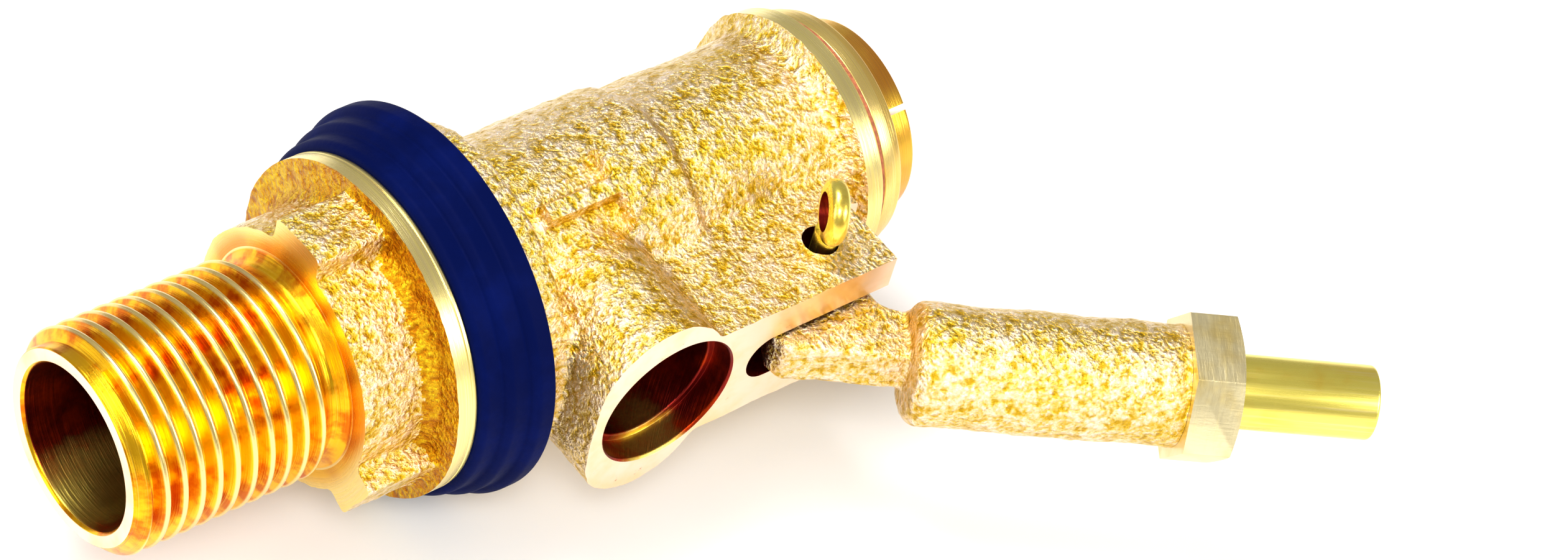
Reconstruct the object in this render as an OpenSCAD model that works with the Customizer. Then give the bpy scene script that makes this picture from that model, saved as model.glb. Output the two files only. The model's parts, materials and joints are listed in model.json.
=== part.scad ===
// Float valve (ball cock) with a horizontal plunger, half-inch size.
// Millimetres. The valve lies on its side: X runs along the water way, from the
// threaded inlet tail to the end cap, the outlet faces -Y, which points down once
// the valve is fitted, and Z is the axis of the lever's pin.
// The origin is the centre of the turned face that the inlet thread runs up to.

/* [Inlet tail] */
// Major diameter of the inlet thread
thread_d = 20.955; // [18:0.005:27]
// Pitch of the inlet thread
thread_pitch = 1.814; // [1:0.001:2.4]
// Depth of the inlet thread
thread_depth = 1.162; // [0.6:0.001:1.5]
// Flat width left on each thread crest
crest_w = 0.3; // [0.2:0.05:0.5]
// Length of the tail from the inlet face to the turned face
tail_len = 22; // [15:0.5:35]
// Least distance from the inlet face to the first full crest
thread_lead = 2.4; // [1.5:0.1:4]
// Least length of the plain neck between the last crest and the turned face
neck_len = 2.4; // [1.5:0.1:5]
// Bore of the tail
tail_bore = 15.6; // [10:0.1:16]
// Diameter of the cast shoulder
shoulder_d = 24.6; // [22:0.1:28]
// Length of the cast shoulder
shoulder_len = 7.3; // [5:0.1:14]
// Diameter across the spanner lugs
lug_d = 29; // [26:0.1:31]
// Width of a spanner lug
lug_w = 6.2; // [4:0.1:8]
// Number of spanner lugs
lug_count = 3; // [2:1:4]
// Angle at which the tail happens to be screwed home
tail_turn = 115; // [0:1:360]
// Diameter of the turned flange
flange_d = 32.2; // [30:0.1:40]
// Thickness of the turned flange
flange_t = 2.1; // [1.5:0.1:4]
// Diameter of the screwed spigot that enters the body
spigot_d = 21.6; // [21.4:0.1:22.4]
// Length of the spigot beyond the sealing ring
spigot_len = 4.3; // [3:0.1:8]

/* [Sealing ring] */
// Largest diameter of the stepped sealing ring
ring_d = 37; // [34:0.1:44]
// Thickness of the sealing ring
ring_t = 7; // [4:0.1:10]
// Number of steps on the ring's rim
ring_bands = 3; // [2:1:4]
// Radial height of each step
ring_step = 0.8; // [0.3:0.1:1.2]
// Free play between the ring's bore and the spigot
ring_play = 0.1; // [0.05:0.05:0.5]

/* [Seat] */
// Bore of the recess that holds the seat
seat_pocket_d = 17.6; // [16.6:0.1:18]
// Thickness of the fibre joint behind the seat
seat_joint_t = 0.8; // [0.5:0.1:1.5]
// Thickness of the seat's flange
seat_flange_t = 3.4; // [2:0.1:5]
// Diameter of the seat's nose
nose_d = 8; // [6:0.1:9]
// How far the nose stands out of the tail
nose_len = 3.6; // [2:0.1:6]
// Bore of the seat
orifice_d = 4.8; // [2:0.1:6]

/* [Body] */
// Diameter of the cast collar behind the sealing ring
collar_d = 31.4; // [28:0.1:38]
// Thickness of the cast collar
collar_t = 3.6; // [2.5:0.1:6]
// Diameter of the raised front part of the barrel
front_d = 24; // [22.5:0.1:28]
// Length of the raised front part of the barrel
front_len = 18.9; // [16:0.1:26]
// Diameter of the rear part of the barrel
rear_d = 22.4; // [22:0.1:26]
// Diameter of the rim that the end cap closes on
rim_d = 25.8; // [25:0.1:30]
// Thickness of the rim
rim_t = 2; // [1.5:0.1:4]
// Bore of the barrel
chamber_d = 18; // [17:0.1:19]
// Diameter of the screw thread for the end cap
cap_thread_d = 19.6; // [19:0.1:20.4]
// Depth of the screw thread for the end cap
cap_thread_len = 3; // [2:0.1:5]

/* [Outlet] */
// Distance from the barrel's axis to the outlet face
outlet_drop = 20.4; // [18:0.1:28]
// Distance from the collar to the outlet's axis
outlet_setback = 8; // [8:0.1:12]
// Diameter of the outlet's mouth
outlet_d = 14.2; // [10:0.1:15]
// Depth of the outlet's mouth
outlet_mouth = 2.6; // [1.5:0.1:6]
// Diameter of the passage above the mouth
passage_d = 12.8; // [9:0.1:14]
// Radius of the two ends of the oblong outlet boss
boss_r = 6.75; // [5.5:0.05:9]
// Distance between the centres of the boss's two ends
boss_spread = 6.9; // [4:0.1:10]
// How far the boss lies ahead of the outlet's axis
boss_offset = 1.7; // [0:0.1:3]

/* [Ears] */
// Thickness across both ears
ear_t = 12.6; // [11:0.1:18]
// Distance from the outlet's axis to the lever pin, along the barrel
pin_setback = 20; // [18:0.1:26]
// Distance from the barrel's axis to the lever pin
pin_drop = 15.4; // [14:0.1:17]
// How far the ears reach past the lever pin
ear_reach = 5.2; // [4:0.1:9]
// Width of the lever slot between the ears
slot_w = 5.2; // [5:0.1:7]
// Distance from the lever pin to the closed end of the slot
slot_reach = 10.9; // [10:0.1:12.5]
// Diameter of the pin holes
pin_hole_d = 3.5; // [3:0.1:4.5]

/* [Split pin] */
// Diameter of the closed legs
pin_d = 3.1; // [2.5:0.1:3.4]
// Outside diameter of the eye
eye_d = 5.9; // [5:0.1:7.5]
// Height of the eye's centre above the ear
eye_rise = 3.8; // [3.2:0.1:5]
// Angle of the eye about the pin
eye_turn = 20; // [0:1:180]
// Straight length of the legs past the far ear
leg_out = 1.2; // [0.8:0.1:4]
// Length of the bent ends
leg_bend = 4; // [2:0.1:8]
// Angle that each leg is bent back by
leg_angle = 50; // [20:1:70]

/* [Lever] */
// Droop of the lever when the valve is open
lever_drop = 34; // [25:1:40]
// Angle that the lever turns through to close the valve
lever_swing = 30; // [20:1:32]
// Lean of the inner arm past upright when the valve is open
arm_lean = 10; // [5:1:15]
// Distance from the pin to the tip of the inner arm
arm_len = 14; // [12.5:0.1:14.5]
// Width of the inner arm below its tip
arm_w = 2.8; // [2.4:0.1:3.2]
// Diameter of the arm's rounded tip
tip_d = 4.4; // [3.6:0.1:5]
// Thickness of the lever's blade
blade_t = 4.6; // [3.6:0.1:4.8]
// Diameter of the lever's eye
lever_eye_d = 10.8; // [8:0.1:12]
// Distance of the socket's axis below the pin
socket_drop = 8.2; // [7:0.1:10]
// Distance from the pin to the socket's shoulder
socket_start = 8.7; // [8:0.1:12]
// Diameter of the socket
socket_d = 11.4; // [9:0.1:14]
// Length of the socket
socket_len = 25.5; // [15:0.5:40]
// Chamfer on the socket's shoulder
socket_chamfer = 1; // [0.3:0.1:1.5]
// Depth of the screwed hole in the socket
socket_hole = 18; // [10:0.5:24]

/* [Float rod and lock nut] */
// Diameter of the float rod
rod_d = 7; // [5:0.1:8]
// Length of the rod beyond the lock nut
rod_out = 13.9; // [8:0.1:300]
// How far the rod's screwed end lies below its plain bar, on the radius
rod_step = 0.2; // [0.1:0.05:0.5]
// Width across the flats of the lock nut
nut_af = 13; // [10:0.1:15]
// Thickness of the lock nut
nut_t = 4.9; // [3:0.1:7]
// Angle of the nut's flats about the rod
nut_turn = 6; // [0:1:60]

/* [Plunger] */
// Running clearance between the plunger and the barrel, on the radius
plunger_fit = 0.05; // [0.02:0.01:0.1]
// Thickness of the rubber washer
washer_t = 3; // [2:0.1:5]
// Diameter of the rubber washer
washer_d = 13; // [11:0.1:14]
// Thickness of the lip that holds the washer in
lip_t = 1; // [0.6:0.1:2]
// Clear space round the seat's nose in the washer cap
nose_gap = 0.8; // [0.4:0.1:2]
// Length of the washer cap
washer_cap_len = 8; // [6:0.1:10]
// Space left between washer and seat at the closed end of the travel
seat_gap = 0.15; // [0.1:0.05:0.5]
// Side play of the arm's tip in the plunger's slot
tip_play = 0.12; // [0.08:0.01:0.3]
// Metal left behind the plunger's slot
plunger_heel = 2.9; // [2.6:0.1:6]
// Space left between the plunger and the end cap when the valve is open
end_play = 0.35; // [0.3:0.05:2]

/* [End cap] */
// Thickness of the joint ring under the cap
cap_joint_t = 0.8; // [0.5:0.1:1.5]
// Diameter of the cap's flange
cap_d = 24; // [22:0.1:28]
// Thickness of the cap's flange
cap_flange_t = 2.4; // [1.5:0.1:4]
// Diameter of the cap's outer step
cap_step_d = 19.4; // [14:0.1:22]
// Thickness of the cap's outer step
cap_step_t = 3.2; // [2:0.1:5]
// Width of the screwdriver slot
cap_slot_w = 1.4; // [0.8:0.1:2.5]
// Depth of the screwdriver slot
cap_slot_depth = 2.2; // [1:0.1:3]
// Angle at which the slot happens to lie
cap_slot_turn = 41; // [0:1:180]

/* [Hidden] */
$fn = 96;
over = 0.5;                // how far a cutter runs past the face that it cuts
web_tuck = 0.05;           // how far a web's edges lie inside the circles that it joins
colours = ["#d8a93c", "#e3b95a", "#151a3c", "#b98d2e", "#7a4a2c", "#c9b36a"];

thread_r = thread_d / 2;
root_r = thread_r - thread_depth;
crests = floor((tail_len - thread_lead - neck_len) / thread_pitch) + 1;

flange_x = shoulder_len;
ring_x = flange_x + flange_t;
body_x = ring_x + ring_t;
chamber_x = body_x + spigot_len;
front_x = body_x + collar_t;
rear_x = front_x + front_len;

spigot_end_x = chamber_x - 0.1;
seat_x = spigot_end_x + nose_len;
seat_pocket_x = spigot_end_x - seat_joint_t - seat_flange_t;

outlet_x = front_x + outlet_setback;
boss_x = outlet_x - boss_offset;
pin_x = outlet_x + pin_setback;
ear_end_x = pin_x + ear_reach;
slot_x = pin_x - slot_reach;
slot_end_x = ear_end_x + 0.6;

arm_travel = arm_len * (sin(arm_lean) + sin(lever_swing - arm_lean));
tip_x = pin_x + arm_len * sin(arm_lean);
tip_y = -pin_drop + arm_len;

plunger_d = chamber_d - 2 * plunger_fit;
washer_x = seat_x + seat_gap + arm_travel;
washer_cap_x = washer_x - lip_t;
plunger_x = washer_x + washer_t;
shoulder_x = washer_cap_x + washer_cap_len;
plunger_slot_w = tip_d + 2 * tip_play;
plunger_end_x = tip_x + plunger_slot_w / 2 + plunger_heel;
plunger_nose_d = washer_d + 1;

cap_bottom_x = plunger_end_x + end_play;
body_end_x = cap_bottom_x + cap_thread_len;
rim_x = body_end_x - rim_t;
cap_x = body_end_x + cap_joint_t;
cap_step_x = cap_x + cap_flange_t;
cap_end_x = cap_step_x + cap_step_t;

socket_end = socket_start + socket_len;
nut_end = socket_end + nut_t;
rod_start = socket_end - socket_hole;
rod_end = nut_end + rod_out;
rod_thread_d = rod_d - 2 * rod_step;

// How far the leaning arm reaches along the plunger's surface, from its tip's centre
function mouth_reach(lean) =
    (plunger_d / 2 - pin_drop + arm_len * cos(lean)) * tan(lean)
    + arm_w / 2 / cos(lean) + 2 * tip_play;

// A disc or bar lying along X, from x0 to x1
module bar(x0, x1, d) {
    translate([x0, 0, 0]) rotate([0, 90, 0]) cylinder(h = x1 - x0, d = d);
}

// A cone lying along X
module cone(x0, x1, d0, d1) {
    translate([x0, 0, 0]) rotate([0, 90, 0]) cylinder(h = x1 - x0, d1 = d0, d2 = d1);
}

// A ring lying along X
module ring(x0, x1, d, bore) {
    difference() {
        bar(x0, x1, d);
        bar(x0 - over, x1 + over, bore);
    }
}

// A revolved outline of [x, radius] points, about the X axis
module turned(points) {
    rotate([0, 90, 0]) rotate_extrude()
        polygon([for (p = points) [p[1], p[0]]]);
}

// Flat web between two circles, just inside their outer tangents
module web(a, ra, b, rb) {
    aim = atan2(b[1] - a[1], b[0] - a[0]);
    open = acos((ra - rb) / norm(b - a));
    near = ra - web_tuck;
    far = rb - web_tuck;
    polygon([
        a + near * [cos(aim + open), sin(aim + open)],
        a + near * [cos(aim - open), sin(aim - open)],
        b + far * [cos(aim - open), sin(aim - open)],
        b + far * [cos(aim + open), sin(aim + open)]
    ]);
}

// Places a piece that is drawn with the lever level and the pin at the origin
module at_lever() {
    translate([pin_x, -pin_drop, 0]) rotate([0, 0, -lever_drop]) children();
}

// One full crest of the inlet thread, as a ridge
module thread_ridge(x) {
    half_root = thread_pitch / 2 - 0.12;
    turned([
        [x - half_root, root_r - over],
        [x - half_root, root_r],
        [x - crest_w / 2, thread_r],
        [x + crest_w / 2, thread_r],
        [x + half_root, root_r],
        [x + half_root, root_r - over]
    ]);
}

module inlet_tail() {
    color(colours[0]) difference() {
        union() {
            bar(-tail_len, over, 2 * root_r);
            for (i = [0 : crests - 1]) thread_ridge(-tail_len + thread_lead + i * thread_pitch);
            bar(0, flange_x + over, shoulder_d);
            for (i = [0 : lug_count - 1])
                rotate([tail_turn + i * 360 / lug_count, 0, 0]) intersection() {
                    translate([0, -lug_w / 2, 0]) cube([flange_x + over, lug_w, lug_d]);
                    bar(0, flange_x + over, lug_d);
                }
            bar(flange_x, ring_x, flange_d);
            bar(flange_x, spigot_end_x, spigot_d);
        }
        bar(-tail_len - over, spigot_end_x + over, tail_bore);
        cone(-tail_len - over, -tail_len + over, tail_bore + 2 * over, tail_bore);
        bar(seat_pocket_x, spigot_end_x + over, seat_pocket_d);
    }
}

module sealing_ring() {
    band_t = ring_t / ring_bands;
    color(colours[2]) difference() {
        for (i = [0 : ring_bands - 1])
            bar(ring_x + i * band_t, body_x, ring_d - 2 * ring_step * (ring_bands - 1 - i));
        bar(ring_x - over, body_x + over, spigot_d + 2 * ring_play);
    }
}

module seat_joint() {
    color(colours[4])
        ring(seat_pocket_x, seat_pocket_x + seat_joint_t, seat_pocket_d, orifice_d + 4);
}

module seat_nozzle() {
    flange_start = seat_pocket_x + seat_joint_t;
    color(colours[1]) difference() {
        union() {
            bar(flange_start, spigot_end_x, seat_pocket_d);
            cone(spigot_end_x, spigot_end_x + nose_len / 3, nose_d + 3, nose_d);
            bar(spigot_end_x, seat_x, nose_d);
        }
        bar(flange_start - over, seat_x + over, orifice_d);
    }
}

module outlet_boss() {
    rotate([90, 0, 0]) linear_extrude(outlet_drop) {
        for (side = [-1, 1])
            translate([boss_x, side * boss_spread / 2]) circle(boss_r);
        translate([boss_x - boss_r, -boss_spread / 2]) square([2 * boss_r, boss_spread]);
    }
}

module valve_body() {
    color(colours[0]) difference() {
        union() {
            bar(body_x, front_x, collar_d);
            bar(front_x - over, rear_x, front_d);
            bar(rear_x - over, body_end_x, rear_d);
            bar(rim_x, body_end_x, rim_d);
            outlet_boss();
            translate([boss_x, -outlet_drop, -ear_t / 2])
                cube([ear_end_x - boss_x, outlet_drop, ear_t]);
        }
        bar(body_x - over, chamber_x, spigot_d);
        bar(chamber_x - over, body_end_x + over, chamber_d);
        bar(cap_bottom_x, body_end_x + over, cap_thread_d);
        translate([outlet_x, outlet_mouth - outlet_drop, 0]) rotate([90, 0, 0])
            cylinder(h = outlet_mouth + over, d = outlet_d);
        translate([outlet_x, 0, 0]) rotate([90, 0, 0]) cylinder(h = outlet_drop, d = passage_d);
        translate([slot_x, -outlet_drop - over, -slot_w / 2])
            cube([slot_end_x - slot_x, outlet_drop, slot_w]);
        translate([pin_x, -pin_drop, 0])
            cylinder(h = ear_t + 2 * over, d = pin_hole_d, center = true);
    }
}

module washer_cap() {
    color(colours[1]) difference() {
        bar(washer_cap_x, shoulder_x, plunger_d);
        bar(washer_cap_x - over, washer_x + over, nose_d + 2 * nose_gap);
        bar(washer_x, shoulder_x + over, plunger_nose_d);
    }
}

module plunger_washer() {
    color(colours[2]) bar(washer_x, plunger_x, washer_d);
}

// Outline of the slot that the arm works in, flared towards its mouth
module arm_slot_outline() {
    half = plunger_slot_w / 2;
    front = mouth_reach(arm_lean);
    back = mouth_reach(lever_swing - arm_lean);
    top = tip_y + tip_d / 2 + over;
    polygon([
        [tip_x - half, top], [tip_x - half, tip_y],
        [tip_x - front, -plunger_d / 2], [tip_x - front, -plunger_d],
        [tip_x + back, -plunger_d], [tip_x + back, -plunger_d / 2],
        [tip_x + half, tip_y], [tip_x + half, top]
    ]);
}

module plunger() {
    color(colours[0]) difference() {
        union() {
            bar(plunger_x, shoulder_x + over, plunger_nose_d);
            bar(shoulder_x, plunger_end_x, plunger_d);
        }
        linear_extrude(slot_w, center = true) arm_slot_outline();
    }
}

module cap_joint() {
    color(colours[4]) ring(body_end_x, cap_x, cap_d, cap_thread_d + 2 * ring_play);
}

module end_cap() {
    recess = cap_thread_d - 6;
    color(colours[1]) difference() {
        union() {
            bar(cap_bottom_x, cap_x + over, cap_thread_d);
            bar(cap_x, cap_step_x, cap_d);
            bar(cap_step_x - over, cap_end_x, cap_step_d);
        }
        bar(cap_bottom_x - over, cap_x, recess);
        rotate([cap_slot_turn, 0, 0])
            translate([cap_end_x - cap_slot_depth, -cap_slot_w / 2, -cap_d])
                cube([cap_slot_depth + over, cap_slot_w, 2 * cap_d]);
    }
}

// Outline of the lever's blade, in the plane of its swing
module blade_outline() {
    low = -socket_drop - 1.4;
    eye_r = lever_eye_d / 2;
    heel_r = 1.5;
    neck_r = 3.2;
    heel = [-3, low + heel_r];
    neck = [socket_start + 1.3, low + neck_r];
    tip_lean = arm_lean - lever_drop;
    tip = arm_len * [sin(tip_lean), cos(tip_lean)];
    circle(eye_r);
    translate(tip) circle(tip_d / 2);
    translate(heel) circle(heel_r);
    translate(neck) circle(neck_r);
    rotate(-tip_lean) translate([-arm_w / 2, 0]) square([arm_w, arm_len]);
    web([0, 0], eye_r, heel, heel_r);
    web(neck, neck_r, heel, heel_r);
    polygon([[0, 0], [eye_r * 0.9, -eye_r * 0.3], [socket_start - 1.7, low + 6], neck, heel]);
}

module lever() {
    color(colours[0]) at_lever() difference() {
        union() {
            linear_extrude(blade_t, center = true) blade_outline();
            translate([0, -socket_drop, 0]) {
                cone(socket_start, socket_start + socket_chamfer,
                     socket_d - 2 * socket_chamfer, socket_d);
                bar(socket_start + socket_chamfer, socket_end, socket_d);
            }
        }
        cylinder(h = blade_t + 2 * over, d = pin_hole_d, center = true);
        translate([0, -socket_drop, 0]) bar(rod_start, socket_end + over, rod_thread_d);
    }
}

// One half-round leg of the split pin, on the +Y side, with its bent end
module pin_leg() {
    top = ear_t / 2 + eye_rise - eye_d / 2 + pin_d / 2;
    straight_end = -ear_t / 2 - leg_out;
    translate([0, 0, straight_end]) intersection() {
        cylinder(h = top - straight_end, d = pin_d);
        translate([-pin_d, 0, -over]) cube([2 * pin_d, pin_d, top - straight_end + 2 * over]);
    }
    translate([0, 0, straight_end]) rotate([leg_angle, 0, 0]) intersection() {
        union() {
            mirror([0, 0, 1]) cylinder(h = leg_bend, d = pin_d);
            sphere(d = pin_d);
        }
        translate([-pin_d, 0, -leg_bend - pin_d]) cube([2 * pin_d, pin_d, leg_bend + 2 * pin_d]);
    }
}

module split_pin() {
    wire_t = pin_d / 2;
    color(colours[3]) translate([pin_x, -pin_drop, 0]) rotate([0, 0, -eye_turn]) {
        pin_leg();
        mirror([0, 1, 0]) pin_leg();
        translate([0, 0, ear_t / 2 + eye_rise]) rotate([0, 90, 0]) difference() {
            cylinder(h = pin_d - 0.2, d = eye_d, center = true);
            cylinder(h = pin_d + over, d = eye_d - 2 * wire_t, center = true);
        }
    }
}

module lock_nut() {
    corner_d = nut_af / cos(30);
    bevel = (corner_d - nut_af) / 2;
    color(colours[5]) at_lever() translate([0, -socket_drop, 0]) difference() {
        intersection() {
            translate([socket_end, 0, 0]) rotate([0, 90, 0]) rotate([0, 0, nut_turn])
                cylinder(h = nut_t, d = corner_d, $fn = 6);
            turned([
                [socket_end, 0],
                [socket_end, corner_d / 2],
                [nut_end - bevel * 0.8, corner_d / 2],
                [nut_end, nut_af / 2 - 0.2],
                [nut_end, 0]
            ]);
        }
        bar(socket_end - over, nut_end + over, rod_thread_d);
    }
}

module float_rod() {
    color(colours[1]) at_lever() translate([0, -socket_drop, 0]) {
        bar(rod_start, nut_end + over, rod_thread_d);
        bar(nut_end, rod_end, rod_d);
    }
}

inlet_tail();
sealing_ring();
seat_joint();
seat_nozzle();
valve_body();
washer_cap();
plunger_washer();
plunger();
cap_joint();
end_cap();
lever();
split_pin();
lock_nut();
float_rod();
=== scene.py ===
"""Looks of a half-inch float valve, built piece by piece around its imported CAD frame."""

import json
import math

import bmesh
import bpy
from mathutils import Matrix, Vector, noise


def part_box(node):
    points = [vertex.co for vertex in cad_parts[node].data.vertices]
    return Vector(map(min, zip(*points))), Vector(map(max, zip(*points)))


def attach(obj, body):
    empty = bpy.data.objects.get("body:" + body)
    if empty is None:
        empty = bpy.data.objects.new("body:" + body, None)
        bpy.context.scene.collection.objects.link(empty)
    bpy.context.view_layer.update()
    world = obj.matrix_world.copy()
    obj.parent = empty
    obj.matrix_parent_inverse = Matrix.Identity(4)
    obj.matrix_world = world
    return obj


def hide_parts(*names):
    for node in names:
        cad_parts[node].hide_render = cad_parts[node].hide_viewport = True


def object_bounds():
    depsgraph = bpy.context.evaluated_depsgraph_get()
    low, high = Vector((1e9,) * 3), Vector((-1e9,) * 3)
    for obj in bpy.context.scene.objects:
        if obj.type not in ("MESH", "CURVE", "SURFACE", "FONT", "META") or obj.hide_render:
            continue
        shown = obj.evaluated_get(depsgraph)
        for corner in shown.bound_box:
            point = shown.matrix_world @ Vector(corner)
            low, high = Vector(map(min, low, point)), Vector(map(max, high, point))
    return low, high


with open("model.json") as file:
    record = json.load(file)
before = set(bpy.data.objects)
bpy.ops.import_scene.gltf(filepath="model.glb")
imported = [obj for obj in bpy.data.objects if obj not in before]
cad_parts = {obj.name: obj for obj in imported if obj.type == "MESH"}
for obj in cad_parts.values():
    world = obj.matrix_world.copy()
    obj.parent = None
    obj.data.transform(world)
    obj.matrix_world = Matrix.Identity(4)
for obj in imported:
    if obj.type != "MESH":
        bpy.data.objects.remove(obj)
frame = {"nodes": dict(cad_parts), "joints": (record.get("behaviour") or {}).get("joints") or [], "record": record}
CAD_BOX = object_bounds()

bl_info = {
    "name": "Float valve",
    "version": (1, 0, 0),
    "blender": (4, 5, 0),
    "location": "3D View > Sidebar > Valve",
    "description": "Builds the finished pieces of a brass float valve around its frame",
    "category": "Add Mesh",
}

# ---------------------------------------------------------------- sizes, in millimetres

MM = 0.001                      # a millimetre in Blender's metres
X, Y, Z = 0, 1, 2
MOUNTS = {mount["name"]: mount for mount in frame["record"]["mounts"]}
HINGE = next(joint for joint in frame["joints"] if joint["type"] == "hinge")


def low(node, axis):
    """Lowest place of a CAD node along an axis."""
    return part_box(node)[0][axis] / MM


def high(node, axis):
    """Highest place of a CAD node along an axis."""
    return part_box(node)[1][axis] / MM


def mount_place(name):
    return Vector(MOUNTS[name]["pos_m"]) / MM


THREAD_R = MOUNTS["inlet_thread"]["dims"]["r_mm"]
BORE_R = MOUNTS["inlet_bore"]["dims"]["r_mm"]
INLET_X = mount_place("inlet_bore").x
THREAD_STOP_X = mount_place("inlet_thread").x
RING_X = low("sealing_ring", X)
BODY_X = high("sealing_ring", X)
FLANGE_R = high("inlet_tail", Z)
SPIGOT_X = high("inlet_tail", X)
COLLAR_R = high("valve_body", Z)
BODY_END_X = high("valve_body", X)
CAP_X = high("cap_joint", X)
CAP_END_X = high("end_cap", X)
CAP_R = high("end_cap", Z)
OUTLET = mount_place("outlet_mouth")
OUTLET_R = MOUNTS["outlet_mouth"]["dims"]["r_mm"]
OUTLET_DEPTH = MOUNTS["outlet_mouth"]["dims"]["length_mm"]
PIN = Vector(HINGE["pos_m"]) / MM
ROD_END = mount_place("rod_end")
ROD_WAY = Vector(MOUNTS["rod_end"]["axis"]).normalized()
ROD_R = MOUNTS["rod_end"]["dims"]["r_mm"]
ROD_OUT = MOUNTS["rod_end"]["dims"]["length_mm"]
ROD_STEP = 0.2                  # how far the rod's screwed end lies below its plain bar
ROD_THREAD_R = ROD_R - ROD_STEP
DROOP = math.atan2(-ROD_WAY.y, ROD_WAY.x)
LEVER_PLACE = Matrix.Translation(PIN) @ Matrix.Rotation(-DROOP, 4, "Z")
ROD_LOCAL = LEVER_PLACE.inverted() @ ROD_END


# ---------------------------------------------------------------- what a user may change

def length(name, text, size_mm):
    """A length property, given in millimetres."""
    return bpy.props.FloatProperty(
        name=name, description=text, default=size_mm * MM, min=0.0, precision=5,
        unit="LENGTH", subtype="DISTANCE")


def colour(name, text, value):
    return bpy.props.FloatVectorProperty(
        name=name, description=text, default=value, size=3, min=0.0, max=1.0, subtype="COLOR")


class ValveSizes(bpy.types.PropertyGroup):
    """Sizes that the frame doesn't hold."""
    pitch: length("Thread pitch", "Distance between two crests of the inlet thread", 1.814)
    depth: length("Thread depth", "Depth of the inlet thread", 1.162)
    voxel: length("Casting detail", "Size of the cells that a casting is built from", 0.3)
    edge: length("Turned edge", "Radius left on a turned edge", 0.15)
    wave: length("Casting wave", "Height of the slow waves in a cast skin", 0.16)
    grain: length("Casting grain", "Height of the grains in a cast skin", 0.09)
    mark: length("Flow arrow", "Height of the raised flow arrow", 1.1)
    ring_edge: length("Ring softness", "Radius of the bands on the sealing ring", 1.0)


class ValveFinishes(bpy.types.PropertyGroup):
    """Colours of the finishes."""
    cast: colour("Cast brass", "Main colour of the cast skin", (0.79, 0.51, 0.014))
    # painted highlight: the light colour put on the high spots of the cast skin in place of glints
    cast_painted_highlight: colour("Cast brass, light", "Worn high spots of the cast skin", (1.0, 0.80, 0.60))
    # painted shade in the creases of the cast skin, and the colour of real pits and dirt specks
    cast_dark_dirt_and_shade: colour("Cast brass, dark", "Pits and hollows of the cast skin", (0.34, 0.12, 0.004))
    # painted shade: the darker skin on the back of the flange, which faces away from the lights
    shade_brown: colour("Cast brass, brown", "Untouched skin behind the flange", (0.50, 0.17, 0.004))
    turned: colour("Turned brass", "Main colour of turned brass", (0.95, 0.50, 0.012))
    # also the colour of the painted dark reflection bands along turned brass
    turned_deep: colour("Turned brass, deep", "Warm streaks in turned brass", (0.54, 0.045, 0.0005))
    # also a painted highlight along the thread crests
    pale: colour("Bright brass", "Rims and thread crests", (0.98, 0.80, 0.34))
    faced: colour("Faced brass", "Flat faces, freshly cut", (1.0, 0.75, 0.56))
    # painted shade inside bores, holes, the slot, the rod socket and the split pin's eye
    bore: colour("Bored brass", "Walls browned by water", (0.20, 0.014, 0.010))
    nut: colour("Nut brass", "The lock nut", (0.93, 0.80, 0.46))
    rod: colour("Rod brass", "The float rod", (1.0, 0.84, 0.16))
    rubber: colour("Rubber", "Sealing ring and washer", (0.0007, 0.0032, 0.042))
    fibre: colour("Fibre", "Joint washers", (0.30, 0.09, 0.035))
    floor: colour("Floor", "The studio floor", (0.93, 0.93, 0.93))


def sizes():
    return bpy.context.scene.valve_sizes


def finishes():
    return bpy.context.scene.valve_finishes


# ---------------------------------------------------------------- shader sums

class Wire:
    """A number inside a shader. Python's operators on it add Math nodes."""

    def __init__(self, paint, socket):
        self.paint = paint
        self.socket = socket

    def sum(self, operation, first, second):
        node = self.paint.node("ShaderNodeMath", {"operation": operation}, {0: first, 1: second})
        return node.wire()

    def __add__(self, other):
        return self.sum("ADD", self, other)

    def __radd__(self, other):
        return self.sum("ADD", other, self)

    def __sub__(self, other):
        return self.sum("SUBTRACT", self, other)

    def __rsub__(self, other):
        return self.sum("SUBTRACT", other, self)

    def __mul__(self, other):
        return self.sum("MULTIPLY", self, other)

    def __rmul__(self, other):
        return self.sum("MULTIPLY", other, self)

    def between(self, start, end):
        """0 at start, 1 at end, eased and held outside them."""
        node = self.paint.node("ShaderNodeMapRange", {"interpolation_type": "SMOOTHSTEP"},
                               {"Value": self, "From Min": start, "From Max": end})
        return node.wire()


class Node:
    """A shader node, with its outputs as wires."""

    def __init__(self, paint, node):
        self.paint = paint
        self.node = node

    def wire(self, name=0):
        return Wire(self.paint, self.node.outputs[name])


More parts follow.
